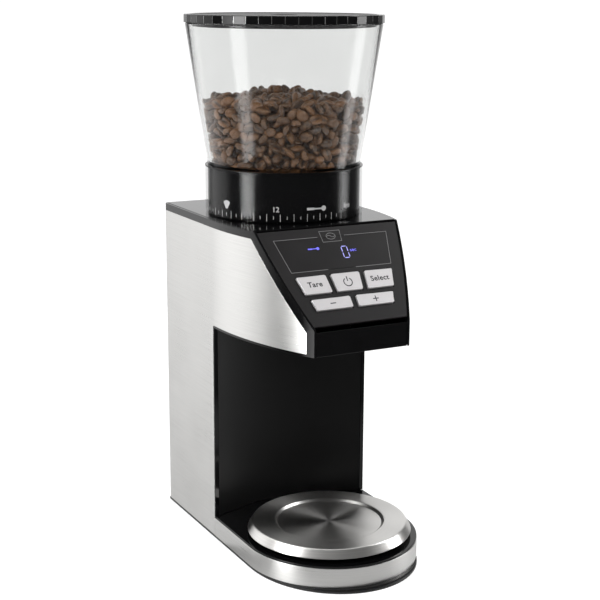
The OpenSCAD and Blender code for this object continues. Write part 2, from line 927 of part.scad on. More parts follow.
// The lid's rim has flat facets for grip
module hopper_lid() {
  facets = 50;
  turned = 2.6;
  plug_z = rim_z - 3;
  skirt_z = rim_z + 0.2;
  color("#0d0d0e")
    at_axis()
      union() {
        translate([0, 0, skirt_z])
          linear_extrude(total_h - skirt_z)
            difference() {
              polygon([
                for (i = [0:facets - 1])
                  let (a = turned + i * 360 / facets) lid_r * [sin(a), -cos(a)]
              ]);
              circle(r = lid_r - 3);
            }
        rotate_extrude()
          polygon([
            [0, total_h - 2.6], [64.5, total_h - 2.6], [64.5, plug_z], [66.8, plug_z], [66.8, skirt_z + 0.4],
            [lid_r - 2, skirt_z + 0.4], [lid_r - 2, total_h - 1.6], [lid_r - 3.6, total_h - 0.6],
            [0, total_h - 0.6]
          ]);
      }
}

module lid_seal() {
  color("#1d1d1d") at_axis() tube(68.2, 66.85, rim_z - 2.8, rim_z - 0.4);
}

base_tray();
base_deck();
base_band();
rubber_feet();
base_screws();
left_shell();
right_shell();
left_skin();
right_skin();
top_cover();
recess_liner();
head_floor();
front_fascia();
control_panel();
display_window();
rear_cover();
rear_screws();
cord_gland();
main_board();
display_board();
led_display();
button_switches();
load_cell();
hopper_switch();
gearbox_plate();
gearbox_cover();
burr_chamber();
shaft_bush();
shaft_bearing();
idler_pin();
motor_can();
motor_end_cap();
motor_screws();
grounds_chute();
button_tare();
button_power();
button_select();
button_minus();
button_plus();
platform_spider();
weighing_plate();
armature();
motor_shaft();
motor_pinion();
idler_gear();
output_gear();
burr_shaft();
cone_burr();
sweeper();
burr_nut();
burr_carrier();
ring_burr();
adjuster_ring();
bean_hopper();
hopper_collar();
scale_sleeve();
finger_guard();
hopper_lid();
lid_seal();
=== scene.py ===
import json
import math
import random

import bmesh
import bpy
import numpy as np
from mathutils import Matrix, Vector


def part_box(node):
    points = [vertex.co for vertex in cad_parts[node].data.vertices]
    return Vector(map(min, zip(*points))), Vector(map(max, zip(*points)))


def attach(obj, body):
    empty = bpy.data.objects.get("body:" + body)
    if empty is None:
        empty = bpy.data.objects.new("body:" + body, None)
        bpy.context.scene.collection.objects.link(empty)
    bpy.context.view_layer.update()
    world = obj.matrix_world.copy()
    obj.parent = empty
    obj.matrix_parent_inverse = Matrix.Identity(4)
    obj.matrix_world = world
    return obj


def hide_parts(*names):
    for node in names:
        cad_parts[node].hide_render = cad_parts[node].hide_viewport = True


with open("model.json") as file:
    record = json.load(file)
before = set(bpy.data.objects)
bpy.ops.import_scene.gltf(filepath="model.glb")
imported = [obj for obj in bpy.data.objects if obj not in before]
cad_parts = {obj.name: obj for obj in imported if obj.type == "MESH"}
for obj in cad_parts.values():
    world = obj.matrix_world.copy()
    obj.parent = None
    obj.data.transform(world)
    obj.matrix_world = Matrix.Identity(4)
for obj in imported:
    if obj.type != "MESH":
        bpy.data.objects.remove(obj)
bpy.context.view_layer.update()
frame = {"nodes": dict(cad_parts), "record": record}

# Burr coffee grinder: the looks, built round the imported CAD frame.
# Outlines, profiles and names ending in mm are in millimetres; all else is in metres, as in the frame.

MM = 0.001
FINE = 192


# ---------- materials ----------

class Surface:
    """One Principled material and short ways to add procedural detail to it."""

    def __init__(self, name, **inputs):
        self.mat = bpy.data.materials.new(name)
        self.mat.use_nodes = True
        self.tree = self.mat.node_tree
        self.tree.nodes.clear()
        out = self.add("ShaderNodeOutputMaterial")
        self.bsdf = self.add("ShaderNodeBsdfPrincipled")
        self.tree.links.new(self.bsdf.outputs[0], out.inputs[0])
        self.coords = self.add("ShaderNodeTexCoord").outputs["Object"]
        for key, value in inputs.items():
            self.bsdf.inputs[key.replace("_", " ")].default_value = value

    def add(self, kind, **settings):
        node = self.tree.nodes.new(kind)
        for key, value in settings.items():
            setattr(node, key, value)
        return node

    def put(self, socket, value):
        if isinstance(value, bpy.types.NodeSocket):
            self.tree.links.new(value, socket)
        else:
            socket.default_value = value

    def noise(self, size_mm, detail=3.0, stretch=(1, 1, 1), rough=0.5):
        """Noise with features about size_mm across, drawn out by stretch along each axis."""
        mapping = self.add("ShaderNodeMapping")
        self.put(mapping.inputs["Vector"], self.coords)
        mapping.inputs["Scale"].default_value = [1 / (size_mm * MM * s) for s in stretch]
        noise = self.add("ShaderNodeTexNoise")
        self.put(noise.inputs["Vector"], mapping.outputs[0])
        noise.inputs["Scale"].default_value = 1.0
        noise.inputs["Detail"].default_value = detail
        noise.inputs["Roughness"].default_value = rough
        return noise.outputs["Fac"]

    def span(self, value, low, high, start=0.3, end=0.7):
        node = self.add("ShaderNodeMapRange")
        self.put(node.inputs["Value"], value)
        set_range(node, start, end, low, high)
        return node.outputs["Result"]

    def blend(self, value, dark, light):
        """A colour between two, by a value from 0 to 1."""
        node = self.add("ShaderNodeMix", data_type="RGBA")
        self.put(node.inputs["Factor"], value)
        self.put(node.inputs["A"], dark if isinstance(dark, bpy.types.NodeSocket) else (*dark, 1))
        self.put(node.inputs["B"], light if isinstance(light, bpy.types.NodeSocket) else (*light, 1))
        for socket in node.outputs:
            if socket.type == "RGBA":
                return socket

    def math(self, operation, a, b=0.0):
        node = self.add("ShaderNodeMath", operation=operation)
        self.put(node.inputs[0], a)
        self.put(node.inputs[1], b)
        return node.outputs[0]

    def colour(self, value):
        self.put(self.bsdf.inputs["Base Color"], value if not isinstance(value, tuple) else (*value, 1))

    def rough(self, value):
        self.put(self.bsdf.inputs["Roughness"], value)

    def bump(self, height, depth_mm, strength=1.0):
        node = self.add("ShaderNodeBump")
        node.inputs["Strength"].default_value = strength
        node.inputs["Distance"].default_value = depth_mm * MM
        self.put(node.inputs["Height"], height)
        if self.bsdf.inputs["Normal"].is_linked:
            self.put(node.inputs["Normal"], self.bsdf.inputs["Normal"].links[0].from_socket)
        self.put(self.bsdf.inputs["Normal"], node.outputs[0])

    def glow(self, strength):
        """White light given off by the surface."""
        self.bsdf.inputs["Emission Color"].default_value = (1, 1, 1, 1)
        self.put(self.bsdf.inputs["Emission Strength"], strength)

    def grooves(self, turn=0.25, amount=0.7):
        """Highlights drawn out across grooves that run round the Z axis."""
        tangent = self.add("ShaderNodeTangent", direction_type="RADIAL", axis="Z")
        self.put(self.bsdf.inputs["Tangent"], tangent.outputs[0])
        self.bsdf.inputs["Anisotropic"].default_value = amount
        self.bsdf.inputs["Anisotropic Rotation"].default_value = turn


def set_range(node, start, end, low, high):
    """Sets a Map Range node to turn start..end into low..high."""
    for key, number in (("From Min", start), ("From Max", end), ("To Min", low), ("To Max", high)):
        node.inputs[key].default_value = number


def shade(colour, factor):
    return tuple(min(1.0, c * factor) for c in colour)


def gloss_plastic(name, colour, low=0.045, high=0.1, shine=0.5):
    """Polished moulding: faint flow ripple, fine dust and wipe marks in the gloss."""
    s = Surface(name, IOR=1.46, Specular_IOR_Level=shine)
    wipe = s.noise(14, 5, (1, 3, 0.6))
    speck = s.noise(0.35, 2)
    s.colour(s.blend(s.span(wipe, 0, 1), shade(colour, 0.8), shade(colour, 1.25)))
    s.rough(s.math("ADD", s.span(wipe, low, high), s.span(speck, 0, 0.05, 0.6, 0.8)))
    s.bump(s.noise(9, 2), 0.008, 0.5)
    return s.mat


def satin_plastic(name, colour, low=0.38, high=0.5, grain=0.4, depth=0.02, shine=0.5):
    """Spark-textured moulding with a fine even grain."""
    s = Surface(name, IOR=1.48, Specular_IOR_Level=shine)
    fine = s.noise(grain, 3)
    patch = s.noise(22, 4)
    s.colour(s.blend(s.span(patch, 0, 1), shade(colour, 0.88), shade(colour, 1.12)))
    s.rough(s.math("ADD", s.span(fine, low, high), s.span(patch, -0.02, 0.02)))
    s.bump(fine, depth, 0.6)
    return s.mat


def brushed_metal(name, colour, low, high, stretch, line_mm=0.22, depth=0.01, amount=0.7):
    """Linear or spun brushing: long hairlines in colour, gloss and relief."""
    s = Surface(name, Metallic=1.0)
    lines = s.noise(line_mm, 4, stretch, 0.6)
    cloud = s.noise(40, 3)
    tone = s.math("ADD", s.span(lines, 0, 0.75), s.span(cloud, 0, 0.25))
    s.colour(s.blend(tone, shade(colour, 0.86), shade(colour, 1.08)))
    s.rough(s.math("ADD", s.span(lines, low, high), s.span(cloud, -0.02, 0.03)))
    s.bump(lines, depth, 0.5)
    s.grooves(amount=amount)
    return s.mat


def spun_metal(name, colour, centre):
    """Steel turned on a lathe: rings about a centre, so the lines follow the radius only."""
    s = Surface(name, Metallic=1.0)
    shift = s.add("ShaderNodeVectorMath", operation="SUBTRACT")
    s.put(shift.inputs[0], s.coords)
    shift.inputs[1].default_value = centre
    flat = s.add("ShaderNodeVectorMath", operation="MULTIPLY")
    s.put(flat.inputs[0], shift.outputs[0])
    flat.inputs[1].default_value = (1, 1, 0)
    length = s.add("ShaderNodeVectorMath", operation="LENGTH")
    s.put(length.inputs[0], flat.outputs[0])
    rings = s.add("ShaderNodeTexNoise", noise_dimensions="1D")
    s.put(rings.inputs["W"], length.outputs["Value"])
    rings.inputs["Scale"].default_value = 3400
    rings.inputs["Detail"].default_value = 4
    wear = s.noise(18, 4)
    s.colour(s.blend(s.span(rings.outputs["Fac"], 0, 1), shade(colour, 0.9), shade(colour, 1.06)))
    s.rough(s.math("ADD", s.span(rings.outputs["Fac"], 0.29, 0.35), s.span(wear, -0.015, 0.02)))
    s.bump(rings.outputs["Fac"], 0.003, 0.4)
    s.grooves(amount=0.8)
    return s.mat


def clear_plastic(name, tint, roughness=0.004):
    """Clear moulding with a faint haze and hairline scuffs."""
    s = Surface(name, Transmission_Weight=1.0, IOR=1.24)
    scuff = s.noise(0.5, 3, (1, 1, 14))
    haze = s.noise(30, 2)
    s.colour(s.blend(s.span(haze, 0, 1), shade(tint, 0.985), tint))
    s.rough(s.math("ADD", s.span(scuff, roughness, roughness + 0.01, 0.55, 0.8), s.span(haze, 0, 0.004)))
    return s.mat


def smoke_plastic(name, colour):
    """A thin clear sleeve: mostly see-through, with its own gloss and fine scuffs."""
    s = Surface(name, IOR=1.46, Alpha=0.22)
    scuff = s.noise(0.5, 3, (1, 1, 14))
    s.colour(s.blend(s.span(scuff, 0, 1), shade(colour, 0.9), shade(colour, 1.1)))
    s.rough(s.span(scuff, 0.05, 0.09, 0.5, 0.8))
    return s.mat


def rubber(name, colour):
    s = Surface(name, IOR=1.45)
    pores = s.noise(0.6, 4)
    s.colour(s.blend(s.span(pores, 0, 1), shade(colour, 0.8), shade(colour, 1.2)))
    s.rough(s.span(pores, 0.68, 0.85))
    s.bump(pores, 0.05, 0.5)
    return s.mat


def cast_metal(name, colour):
    """Die-cast skin: rippled, slightly blotched."""
    s = Surface(name, Metallic=1.0)
    skin = s.noise(1.2, 5)
    s.colour(s.blend(s.span(s.noise(12, 3), 0, 1), shade(colour, 0.82), shade(colour, 1.05)))
    s.rough(s.span(skin, 0.38, 0.56))
    s.bump(skin, 0.06, 0.6)
    return s.mat


def turned_metal(name, colour, low=0.18, high=0.32):
    """Ground or turned round stock: fine rings along Z."""
    s = Surface(name, Metallic=1.0)
    rings = s.noise(0.15, 3, (400, 400, 1))
    s.colour(s.blend(s.span(rings, 0, 1), shade(colour, 0.86), shade(colour, 1.08)))
    s.rough(s.span(rings, low, high))
    s.bump(rings, 0.01, 0.5)
    return s.mat


def winding(name):
    """Enamelled copper wire in laminated iron."""
    s = Surface(name, Metallic=0.9)
    wires = s.noise(0.5, 2, (30, 30, 1))
    s.colour(s.blend(s.span(wires, 0, 1), (0.28, 0.1, 0.04), (0.72, 0.34, 0.16)))
    s.rough(s.span(wires, 0.25, 0.45))
    s.bump(wires, 0.15, 0.8)
    return s.mat


def circuit_board(name):
    """Solder mask with tracks showing through."""
    s = Surface(name, IOR=1.5, Coat_Weight=0.3)
    brick = s.add("ShaderNodeTexBrick", offset=0.37, squash=1.6)
    mapping = s.add("ShaderNodeMapping")
    mapping.inputs["Scale"].default_value = (300, 300, 300)
    mapping.inputs["Rotation"].default_value = (0, math.pi / 2, 0)
    s.put(mapping.inputs["Vector"], s.coords)
    s.put(brick.inputs["Vector"], mapping.outputs[0])
    brick.inputs["Mortar Size"].default_value = 0.06
    tracks = brick.outputs["Fac"]
    s.colour(s.blend(tracks, (0.012, 0.11, 0.045), (0.03, 0.2, 0.09)))
    s.rough(s.span(s.noise(3, 3), 0.25, 0.4))
    s.bump(tracks, 0.04, 0.6)
    return s.mat


def print_ink(name, colour, rough=0.5):
    """Screen-printed ink, very slightly uneven."""
    s = Surface(name, IOR=1.45)
    screen = s.noise(0.25, 2)
    s.colour(s.blend(s.span(screen, 0, 1), shade(colour, 0.86), colour))
    s.rough(s.span(screen, rough, rough + 0.12))
    return s.mat


def lit_segment(name, colour, strength):
    """A lit display segment, its glow a little uneven along it."""
    s = Surface(name, Roughness=0.4)
    glow = s.noise(2.5, 2)
    s.colour(s.blend(s.span(glow, 0, 1), shade(colour, 0.5), shade(colour, 0.7)))
    s.put(s.bsdf.inputs["Emission Color"], s.blend(s.span(glow, 0, 1), shade(colour, 0.75), colour))
    s.bsdf.inputs["Emission Strength"].default_value = strength
    return s.mat


def key_lacquer(name, colour):
    """Pearl-silver lacquer on a moulded key."""
    s = Surface(name, Metallic=0.35, Coat_Weight=0.25, Coat_Roughness=0.3)
    flake = s.noise(0.12, 2)
    wear = s.noise(5, 4)
    s.colour(s.blend(s.span(flake, 0, 1), shade(colour, 0.9), shade(colour, 1.08)))
    s.rough(s.math("ADD", s.span(flake, 0.4, 0.52), s.span(wear, -0.03, 0.03)))
    s.bump(flake, 0.01, 0.4)
    return s.mat


def roasted_bean(name):
    """Oily roasted coffee: each bean has its own shade and its skin is mottled; its crease is painted near-black
    as shade.
    """
    s = Surface(name, IOR=1.45, Specular_IOR_Level=0.3, Coat_Weight=0.5, Coat_Roughness=0.14)
    island = s.add("ShaderNodeNewGeometry").outputs["Random Per Island"]
    tone = s.blend(island, (0.022, 0.0098, 0.0038), (0.115, 0.052, 0.02))
    mottle = s.noise(2.2, 5, rough=0.6)
    light = s.blend(s.span(mottle, 0, 0.5, 0.45, 0.75), tone, (0.21, 0.105, 0.043))
    # Painted shade: near-black colour along the crease, by how deep each point lies in it.
    groove = s.add("ShaderNodeAttribute")
    groove.attribute_name = "crease"
    s.colour(s.blend(groove.outputs["Fac"], light, (0.006, 0.003, 0.0015)))
    s.rough(s.span(s.noise(1.2, 4), 0.3, 0.52))
    s.bump(s.noise(0.9, 5), 0.12, 0.6)
    return s.mat


BLACK = (0.002, 0.002, 0.0022)
PLATE_CENTRE = (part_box("weighing_plate")[0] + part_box("weighing_plate")[1]) / 2
LOOKS = {
    "black_gloss": gloss_plastic("black_gloss", BLACK, shine=0.34),
    "black_satin": satin_plastic("black_satin", (0.007, 0.007, 0.0075)),
    "steel_skin": brushed_metal("steel_skin", (0.72, 0.715, 0.7), 0.27, 0.36, (260, 260, 1), amount=0.5),
    "steel_plate": spun_metal("steel_plate", (0.74, 0.73, 0.71), PLATE_CENTRE),
    "panel_graphite": satin_plastic("panel_graphite", (0.0055, 0.0047, 0.0051), 0.42, 0.5, 0.3, 0.006, 0.32),
    "window_smoke": satin_plastic("window_smoke", (0.0055, 0.0048, 0.0052), 0.34, 0.4, 0.3, 0.003, 0.32),
    "key_silver": key_lacquer("key_silver", (0.56, 0.545, 0.552)),
    "clear_plastic": clear_plastic("clear_plastic", (0.845, 0.85, 0.845)),
    "smoke_plastic": smoke_plastic("smoke_plastic", (0.004, 0.004, 0.0042)),
    "rubber_dark": rubber("rubber_dark", (0.02, 0.02, 0.02)),
    "gland_black": satin_plastic("gland_black", (0.014, 0.014, 0.014)),
    "screw_steel": turned_metal("screw_steel", (0.5, 0.5, 0.52), 0.25, 0.4),
    "shaft_steel": turned_metal("shaft_steel", (0.6, 0.6, 0.62)),
    "burr_steel": turned_metal("burr_steel", (0.42, 0.42, 0.43), 0.2, 0.38),
    "diecast": cast_metal("diecast", (0.6, 0.61, 0.63)),
    "motor_steel": turned_metal("motor_steel", (0.45, 0.46, 0.48), 0.28, 0.42),
    "winding_copper": winding("winding_copper"),
    "brass_turned": turned_metal("brass_turned", (0.75, 0.53, 0.24), 0.2, 0.35),
    "nylon_cream": satin_plastic("nylon_cream", (0.7, 0.66, 0.55), 0.35, 0.5, 0.8),
    "glass_nylon": satin_plastic("glass_nylon", (0.03, 0.03, 0.032), 0.45, 0.62, 0.9, 0.04),
    "board_green": circuit_board("board_green"),
    "display_dark": gloss_plastic("display_dark", (0.03, 0.03, 0.035)),
    "switch_grey": satin_plastic("switch_grey", (0.2, 0.2, 0.21)),
}
SLOT_OF = {p["node"]: p["material_slot"] for p in frame["record"]["subparts"]}
BODY_OF = {n: b for b, nodes in frame["record"]["behaviour"]["bodies"].items() for n in nodes}
RECESS_BLACK = satin_plastic("recess_black", (0.0025, 0.0025, 0.0026), 0.42, 0.52, shine=0.2)
COLLAR_BLACK = gloss_plastic("collar_black", BLACK, 0.16, 0.2, shine=0.25)
LID_TOP = satin_plastic("lid_top_black", BLACK, 0.3, 0.4, shine=0.08)
# Painted highlight: grey metal for thin ribs on the black lid's facet edges, lighter than the lid, in place of
# the light these edges catch.
PAINTED_RIB_HIGHLIGHT = turned_metal("painted_rib_highlight", (0.5, 0.5, 0.5), 0.3, 0.4)
WHITE_INK = print_ink("white_ink", (0.85, 0.85, 0.85))
GREY_INK = print_ink("grey_ink", (0.2, 0.195, 0.2))
DARK_INK = print_ink("dark_ink", (0.012, 0.012, 0.015))
BLUE_LIT = lit_segment("blue_lit", (0.16, 0.15, 0.9), 0.8)
PALE_LIT = lit_segment("pale_lit", (0.42, 0.42, 1.0), 0.75)
BEAN = roasted_bean("roasted_bean")


# ---------- mesh helpers ----------

def add_piece(name, body, material, replaces=()):
    """An empty mesh object that rides on a CAD body."""
    obj = bpy.data.objects.new(name, bpy.data.meshes.new(name))
    bpy.context.scene.collection.objects.link(obj)
    obj.data.materials.append(material)
    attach(obj, body)
    if replaces:
        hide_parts(*replaces)
    return obj


def fill(obj, bm, sharp_deg=35):
    bmesh.ops.recalc_face_normals(bm, faces=bm.faces)
    for face in bm.faces:
        face.smooth = True
    bm.to_mesh(obj.data)
    bm.free()
    obj.data.set_sharp_from_angle(angle=math.radians(sharp_deg))
    return obj


def weighted(obj):
    """Keeps big flat faces flat where they meet rounded edges."""
    mod = obj.modifiers.new("weighted", "WEIGHTED_NORMAL")
    mod.keep_sharp = True
    return obj


def refine(node, bevel_mm=0.4, segments=2, angle=28, material=None):
    """A CAD node with its edges rounded. It replaces the node and takes its slot's material by default."""
    slot = SLOT_OF[node]
    obj = add_piece(node + "_part", BODY_OF[node], material or LOOKS[slot], (node,))
    bm = bmesh.new()
    bm.from_mesh(frame["nodes"][node].data)
    bmesh.ops.remove_doubles(bm, verts=bm.verts, dist=1e-6)
    bmesh.ops.dissolve_limit(bm, angle_limit=math.radians(0.2), verts=bm.verts, edges=bm.edges)
    edges = [e for e in bm.edges
             if len(e.link_faces) == 2 and e.calc_face_angle() > math.radians(angle)]
    bmesh.ops.bevel(bm, geom=edges, offset=bevel_mm * MM, offset_type="OFFSET", segments=segments,
                    profile=0.5, affect="EDGES", clamp_overlap=True)
    return weighted(fill(obj, bm))


def rounded_profile(points, steps=5):
    """Points of a closed outline, where a third value on a point rounds that corner by so much."""
    out = []
    count = len(points)
    for i, point in enumerate(points):
        here = Vector(point[:2])
        radius = point[2] if len(point) > 2 else 0
        if radius == 0:
            out.append(here)
            continue
        before = (Vector(points[i - 1][:2]) - here).normalized()
        after = (Vector(points[(i + 1) % count][:2]) - here).normalized()
        half = before.angle(after) / 2
        centre = here + (before + after).normalized() * radius / math.sin(half)
        first = here + before * radius / math.tan(half) - centre
        last = here + after * radius / math.tan(half) - centre
        turn = first.angle_signed(last)
        for k in range(steps + 1):
            out.append(centre + Matrix.Rotation(-turn * k / steps, 2) @ first)
    return out


def lathe(obj, profile, centre, segments=FINE, sharp_deg=35):
    """Turns a closed (radius, height) outline in millimetres about a vertical axis."""
    bm = bmesh.new()
    rings = []
    for r, z in profile:
        if r < 1e-6:
            rings.append([bm.verts.new((centre[0], centre[1], z * MM))])
            continue
        rings.append([
            bm.verts.new((centre[0] + r * MM * math.cos(a), centre[1] + r * MM * math.sin(a), z * MM))
            for a in (math.tau * i / segments for i in range(segments))
        ])
    for low, high in zip(rings, rings[1:] + rings[:1]):
        for i in range(segments):
            j = (i + 1) % segments
            corners = [low[i % len(low)], low[j % len(low)], high[j % len(high)], high[i % len(high)]]
            corners = list(dict.fromkeys(corners))
            if len(corners) > 2:
                bm.faces.new(corners)
    return fill(obj, bm, sharp_deg)


def add_slab(bm, outline, low, high, bevel=0.0, segments=3):
    """Extrudes a flat outline, in millimetres, between two heights, and bevels its top."""
    bottom = [bm.verts.new((x, y, low)) for x, y in outline]
    top = [bm.verts.new((x, y, high)) for x, y in outline]
    count = len(outline)
    bm.faces.new(bottom)
    cap = bm.faces.new(top)
    for i in range(count):
        j = (i + 1) % count
        bm.faces.new((bottom[i], bottom[j], top[j], top[i]))
    if bevel:
        bmesh.ops.bevel(bm, geom=list(cap.edges), offset=bevel, offset_type="OFFSET",
                        segments=segments, profile=0.5, affect="EDGES", clamp_overlap=False)
    return cap


def place(bm, matrix):
    """Millimetres on a flat sheet to metres in the row frame."""
    bm.transform(matrix @ Matrix.Scale(MM, 4))


def wrap(bm, centre, radius_mm):
    """Bends a flat sheet, x along the arc and y up, in millimetres, round a vertical cylinder."""
    for v in bm.verts:
        angle = v.co.x / radius_mm - math.pi / 2
        r = (radius_mm + v.co.z) * MM
        v.co = Vector((centre[0] + r * math.cos(angle), centre[1] + r * math.sin(angle), v.co.y * MM))


def add_text(bm, words, size, at, thick=0.02, spacing=1.0, bold=0.0):
    """Adds lettering in millimetres, centred on a point."""
    curve = bpy.data.curves.new("lettering", "FONT")
    curve.body = words
    curve.size = size
    curve.align_x = "CENTER"
    curve.align_y = "CENTER"
    curve.extrude = thick / 2
    curve.offset = bold
    curve.space_character = spacing
    curve.resolution_u = 6
    holder = bpy.data.objects.new("lettering", curve)
    bpy.context.scene.collection.objects.link(holder)
    bpy.context.view_layer.update()
    mesh = bpy.data.meshes.new_from_object(holder)
    mesh.transform(Matrix.Translation((at[0], at[1], 0)))
    bm.from_mesh(mesh)
    bpy.data.objects.remove(holder)
    bpy.data.curves.remove(curve)
    bpy.data.meshes.remove(mesh)


def add_stroke(bm, points, width, thick=0.02, closed=False):
    """A printed line of even width through flat points, with mitred corners."""
    pts = [Vector(p) for p in points]
    count = len(pts)
    left, right = [], []
    for i, p in enumerate(pts):
        ahead = pts[(i + 1) % count] - p if closed or i < count - 1 else p - pts[i - 1]
        behind = p - pts[i - 1] if closed or i > 0 else ahead
        ahead, behind = ahead.normalized(), behind.normalized()
        side = Vector((-(ahead + behind).y, (ahead + behind).x)).normalized()
        reach = width / 2 / max(0.3, side.dot(Vector((-ahead.y, ahead.x))))
        left.append(p + side * reach)
        right.append(p - side * reach)
    for i in range(count if closed else count - 1):
        j = (i + 1) % count
        add_slab(bm, [left[i], left[j], right[j], right[i]], -thick / 2, thick / 2)


def arc(centre, radius, start_deg, end_deg, steps=24):
    return [(centre[0] + radius * math.cos(math.radians(start_deg + (end_deg - start_deg) * i / steps)),
             centre[1] + radius * math.sin(math.radians(start_deg + (end_deg - start_deg) * i / steps)))
            for i in range(steps + 1)]


# ---------- places taken from the frame ----------

SLEEVE_LO, SLEEVE_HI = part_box("scale_sleeve")
AXIS = ((SLEEVE_LO.x + SLEEVE_HI.x) / 2, (SLEEVE_LO.y + SLEEVE_HI.y) / 2)
TOP_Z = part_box("top_cover")[1].z


def panel_matrix():
    """Origin at the top of the slope, x across, y up the slope, z out of the control panel's face."""
    faces = frame["nodes"]["control_panel"].data.polygons
    out = Vector((0, -0.76, 0.65))
    face = max((f for f in faces if f.normal.dot(out) > 0.99), key=lambda f: f.area)
    n, p = face.normal.copy(), face.center
    n.x = 0
    n.normalize()
    y = p.y - n.z * (TOP_Z - p.z) / n.y
    up = Vector((0, n.z, -n.y))
    return Matrix.Translation((0, y, TOP_Z)) @ Matrix((
        (1, 0, 0, 0), (0, up.y, n.y, 0), (0, up.z, n.z, 0), (0, 0, 0, 1)))


PANEL = panel_matrix()


# ---------- housing ----------

def build_housing():
    refine("left_shell", 0.45, 3)
    refine("right_shell", 0.45, 3)
    refine("left_skin", 0.15, 2)
    refine("right_skin", 0.15, 2)
    refine("top_cover", 0.3)
    refine("recess_liner", 0.4, material=RECESS_BLACK)
    refine("head_floor", 0.3)
    refine("front_fascia", 0.4, 3)
    refine("base_tray", 0.35, 3)
    refine("base_deck", 0.7, 3)
    refine("base_band", 0.2, 2)
    refine("rear_cover", 0.4)
    refine("rear_screws", 0.2)
    refine("base_screws", 0.2)
    refine("cord_gland", 0.4, 3)
    refine("rubber_feet", 0.4, 3)
    refine("control_panel", 0.25)
    refine("display_window", 0.15)


# ---------- keys and panel printing ----------

KEY_LEGENDS = {"button_tare": "Tare", "button_select": "Select"}


def key_outline(node):
    """Corners of a key's top face on the panel, in millimetres, from the CAD node."""
    back = (PANEL @ Matrix.Scale(MM, 4)).inverted()
    pts = [back @ v.co for v in frame["nodes"][node].data.vertices]
    high = max(p.z for p in pts)
    flat = sorted({(round(p.x, 2), round(p.y, 2)) for p in pts if p.z > high - 0.05})
    mid = (sum(p[0] for p in flat) / len(flat), sum(p[1] for p in flat) / len(flat))
    ring = sorted(flat, key=lambda p: math.atan2(p[1] - mid[1], p[0] - mid[0]))
    return ring, mid, high


def add_power_symbol(bm, at):
    add_stroke(bm, arc(at, 3.2, 122, 418), 0.75)
    add_stroke(bm, [(at[0], at[1] + 0.6), (at[0], at[1] + 4.4)], 0.75)


def build_key(node):
    ring, mid, high = key_outline(node)
    body = BODY_OF[node]
    cap = add_piece(node.replace("button", "key"), body, LOOKS["key_silver"], (node,))
    bm = bmesh.new()
    outline = rounded_profile([(x, y, 0.8) for x, y in ring])
    add_slab(bm, outline, high - 3.5, high, bevel=0.5)
    foot = [(mid[0] + (x - mid[0]) * 1.05, mid[1] + (y - mid[1]) * 1.1) for x, y in ring]
    add_slab(bm, foot, high - 3.8, high - 3.2)
    add_slab(bm, arc(mid, 1.6, 0, 345, 23), high - 4.4, high - 3.8)
    place(bm, PANEL)
    weighted(fill(cap, bm))
    legend = add_piece(node.replace("button", "legend"), body, DARK_INK)
    bm = bmesh.new()
    if node in KEY_LEGENDS:
        add_text(bm, KEY_LEGENDS[node], 5.6, mid, bold=0.13, spacing=1.08)
    elif node == "button_power":
        add_power_symbol(bm, (mid[0], mid[1] - 0.4))
    else:
        add_stroke(bm, [(mid[0] - 2.2, mid[1]), (mid[0] + 2.2, mid[1])], 0.75)
        if node == "button_plus":
            add_stroke(bm, [(mid[0], mid[1] - 2.2), (mid[0], mid[1] + 2.2)], 0.75, thick=0.024)
    bmesh.ops.translate(bm, verts=bm.verts, vec=(0, 0, high + 0.01))
    place(bm, PANEL)
    fill(legend, bm)


def window_face_mm():
    back = (PANEL @ Matrix.Scale(MM, 4)).inverted()
    return max((back @ v.co).z for v in frame["nodes"]["display_window"].data.vertices)


def add_portafilter(bm, at, size):
    """A filter holder seen from above: a round basket and a long handle to the left."""
    add_slab(bm, arc((at[0] + size * 0.4, at[1]), size * 0.13, 0, 345, 23), -0.01, 0.01)
    add_stroke(bm, [(at[0] - size * 0.12, at[1]), (at[0] + size * 0.3, at[1])], size * 0.07)
    add_stroke(bm, [(at[0] - size * 0.5, at[1]), (at[0] - size * 0.12, at[1])], size * 0.12, 0.024)


def build_panel_print():
    face = window_face_mm()
    obj = add_piece("panel_print", "housing", GREY_INK)
    bm = bmesh.new()
    line = 0.32
    add_stroke(bm, [(-10.7, -9.3), (-45, -9.3), (-39.5, -35.4), (-11, -35.4)], line)
    add_stroke(bm, [(10.7, -9.3), (45, -9.3), (39.5, -35.4), (11, -35.4)], line)
    add_stroke(bm, [(-8.1, -4.9), (8.1, -4.9), (7.4, -13.6), (-7.4, -13.6)], line, closed=True)
    add_stroke(bm, [(3.6 * math.cos(a), -9.2 + 2.5 * math.sin(a))
                    for a in (math.tau * i / 36 for i in range(36))], 0.34, closed=True)
    add_stroke(bm, [(-3.2 + 6.4 * i / 12, -9.2 + 0.7 * math.sin(math.tau * i / 12)) for i in range(13)], 0.34)
    bmesh.ops.translate(bm, verts=bm.verts, vec=(0, 0, face + 0.012))
    place(bm, PANEL)
    fill(obj, bm)


def build_display():
    """A lit nought made of six segments, its unit, and a lit filter-holder sign."""
    face = window_face_mm()
    digit = add_piece("display_digit", "housing", PALE_LIT)
    bm = bmesh.new()
    left, right, top, bottom = 4.9, 9.3, -18.2, -27.4
    mid = (top + bottom) / 2
    gap = 0.55
    for a, b in (((left + gap, top), (right - gap, top)), ((left + gap, bottom), (right - gap, bottom)),
                 ((left, top - gap), (left, mid + gap)), ((left, mid - gap), (left, bottom + gap)),
                 ((right, top - gap), (right, mid + gap)), ((right, mid - gap), (right, bottom + gap))):
        add_stroke(bm, [a, b], 0.55)
    bmesh.ops.translate(bm, verts=bm.verts, vec=(0, 0, face + 0.012))
    place(bm, PANEL)
    fill(digit, bm)
    signs = add_piece("display_signs", "housing", BLUE_LIT)
    bm = bmesh.new()
    add_text(bm, "sec", 3.6, (13.6, -21.6), bold=0.05, spacing=1.1)
    add_portafilter(bm, (-16.8, -18.2), 8.6)
    bmesh.ops.translate(bm, verts=bm.verts, vec=(0, 0, face + 0.012))
    place(bm, PANEL)
    fill(signs, bm)


# ---------- weighing plate ----------

